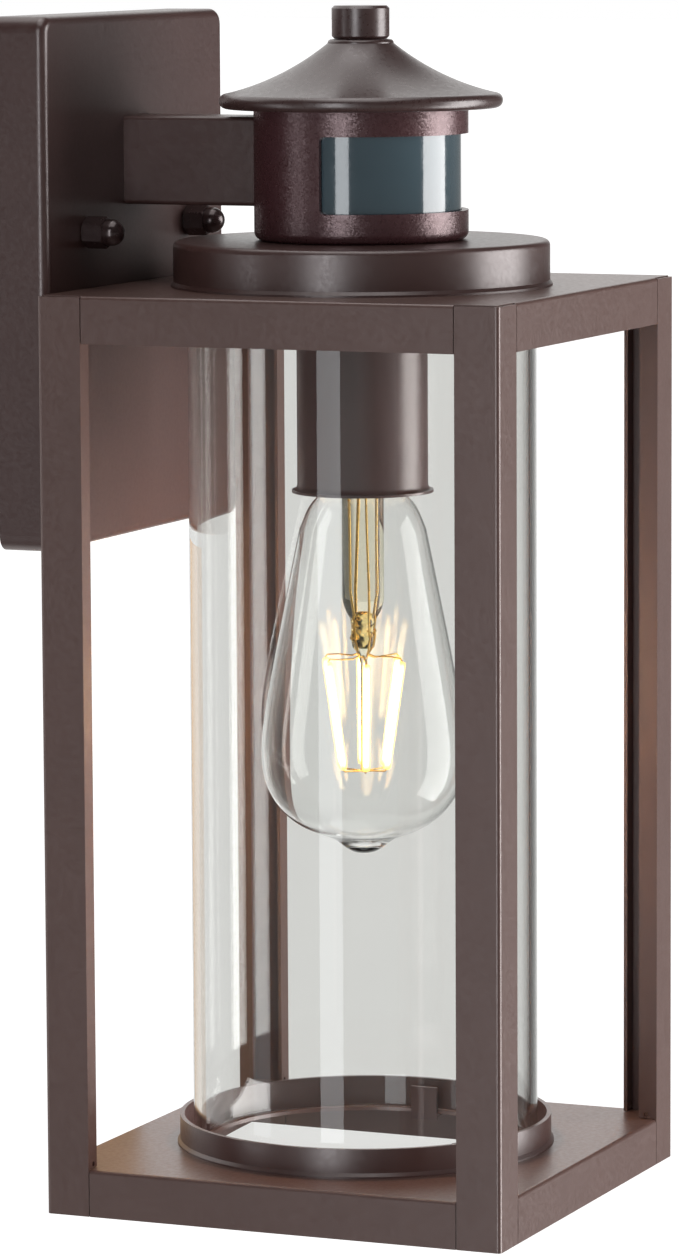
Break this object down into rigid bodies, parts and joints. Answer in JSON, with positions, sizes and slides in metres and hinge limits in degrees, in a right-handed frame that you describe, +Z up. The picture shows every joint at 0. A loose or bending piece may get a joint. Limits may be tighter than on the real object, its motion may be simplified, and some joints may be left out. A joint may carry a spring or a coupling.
{
  "type": "outdoor wall lantern",
  "caption": "Dark bronze outdoor wall lantern: square folded cage round a clear glass cylinder with a filament lamp, under a drum motion sensor with a flared roof.",
  "frame": {"origin": "middle of the wall plate's back, on the wall plane", "axes": "+Z up, -Y out from the wall towards the room, +X to the right for a person facing the wall"},
  "size_m": [0.15, 0.168, 0.3688],
  "materials": {
    "bronze_paint": "satin",
    "bronze_folded": "satin",
    "bronze_drum": "satin",
    "bronze_roof": "satin",
    "bronze_nut": "satin",
    "zinc_steel": "satin",
    "earth_green": "satin",
    "lens_plastic": "gloss",
    "circuit_board": "satin",
    "standoff_plastic": "matte",
    "detector_can": "polished",
    "light_cell": "gloss",
    "relay_plastic": "gloss",
    "supply_parts": "satin",
    "clear_glass": "polished",
    "bulb_clear_glass": "polished",
    "stem_clear_glass": "polished",
    "socket_ceramic": "satin",
    "socket_brass": "satin",
    "bulb_nickel": "satin",
    "black_glass": "gloss",
    "solder_tin": "satin",
    "filament_phosphor": "satin",
    "wire_steel": "satin",
    "nipple_brass": "satin"
  },
  "bodies": {
    "lantern": {"wall_plate": "bronze_paint", "box_strap": "zinc_steel", "fixture_strap": "zinc_steel", "strap_screw": "zinc_steel", "ground_screw": "earth_green", "plate_studs": "zinc_steel", "arm_tube": "bronze_paint", "sensor_housing": "bronze_drum", "sensor_lens": "lens_plastic", "sensor_board": "circuit_board", "board_standoffs": "standoff_plastic", "detector_board": "circuit_board", "pyro_sensors": "detector_can", "photocell": "light_cell", "relay": "relay_plastic", "power_module": "supply_parts", "roof_bridge": "zinc_steel", "finial_rod": "zinc_steel", "rod_nut": "zinc_steel", "roof_cap": "bronze_roof", "lamp_nipple": "nipple_brass", "nipple_nuts": "zinc_steel", "canopy": "bronze_paint", "top_tray": "bronze_folded", "glass_top_ring": "bronze_folded", "post_front_left": "bronze_folded", "post_front_right": "bronze_folded", "post_rear_left": "bronze_folded", "post_rear_right": "bronze_folded", "base_tray": "bronze_folded", "glass_collar": "bronze_paint", "glass_clips": "bronze_paint", "glass_cylinder": "clear_glass", "socket_cup": "bronze_paint", "lamp_socket": "socket_ceramic", "socket_screw_shell": "socket_brass", "socket_contact": "socket_brass"},
    "nut_left": {"cap_nut_left": "bronze_nut"},
    "nut_right": {"cap_nut_right": "bronze_nut"},
    "knob": {"finial_knob": "bronze_roof"},
    "bulb": {"bulb_screw_base": "bulb_nickel", "bulb_insulator": "black_glass", "bulb_contact": "solder_tin", "bulb_driver": "circuit_board", "bulb_glass": "bulb_clear_glass", "bulb_stem": "stem_clear_glass", "bulb_filaments": "filament_phosphor", "bulb_wires": "wire_steel"}
  },
  "joints": [
    {"name": "nut_left_turn", "type": "hinge", "parent": "lantern", "child": "nut_left", "pos_m": [-0.0375, -0.017, 0.015], "axis": [0, -1, 0], "range_deg": [0, 3270]},
    {"name": "nut_right_turn", "type": "hinge", "parent": "lantern", "child": "nut_right", "pos_m": [0.0375, -0.017, 0.015], "axis": [0, -1, 0], "range_deg": [0, 3270]},
    {"name": "knob_turn", "type": "hinge", "parent": "lantern", "child": "knob", "pos_m": [0, -0.093, 0.074], "axis": [0, 0, 1], "range_deg": [0, 2970]},
    {"name": "bulb_turn", "type": "hinge", "parent": "lantern", "child": "bulb", "pos_m": [0, -0.093, -0.06], "axis": [0, 0, -1], "range_deg": [0, 1620]}
  ]
}
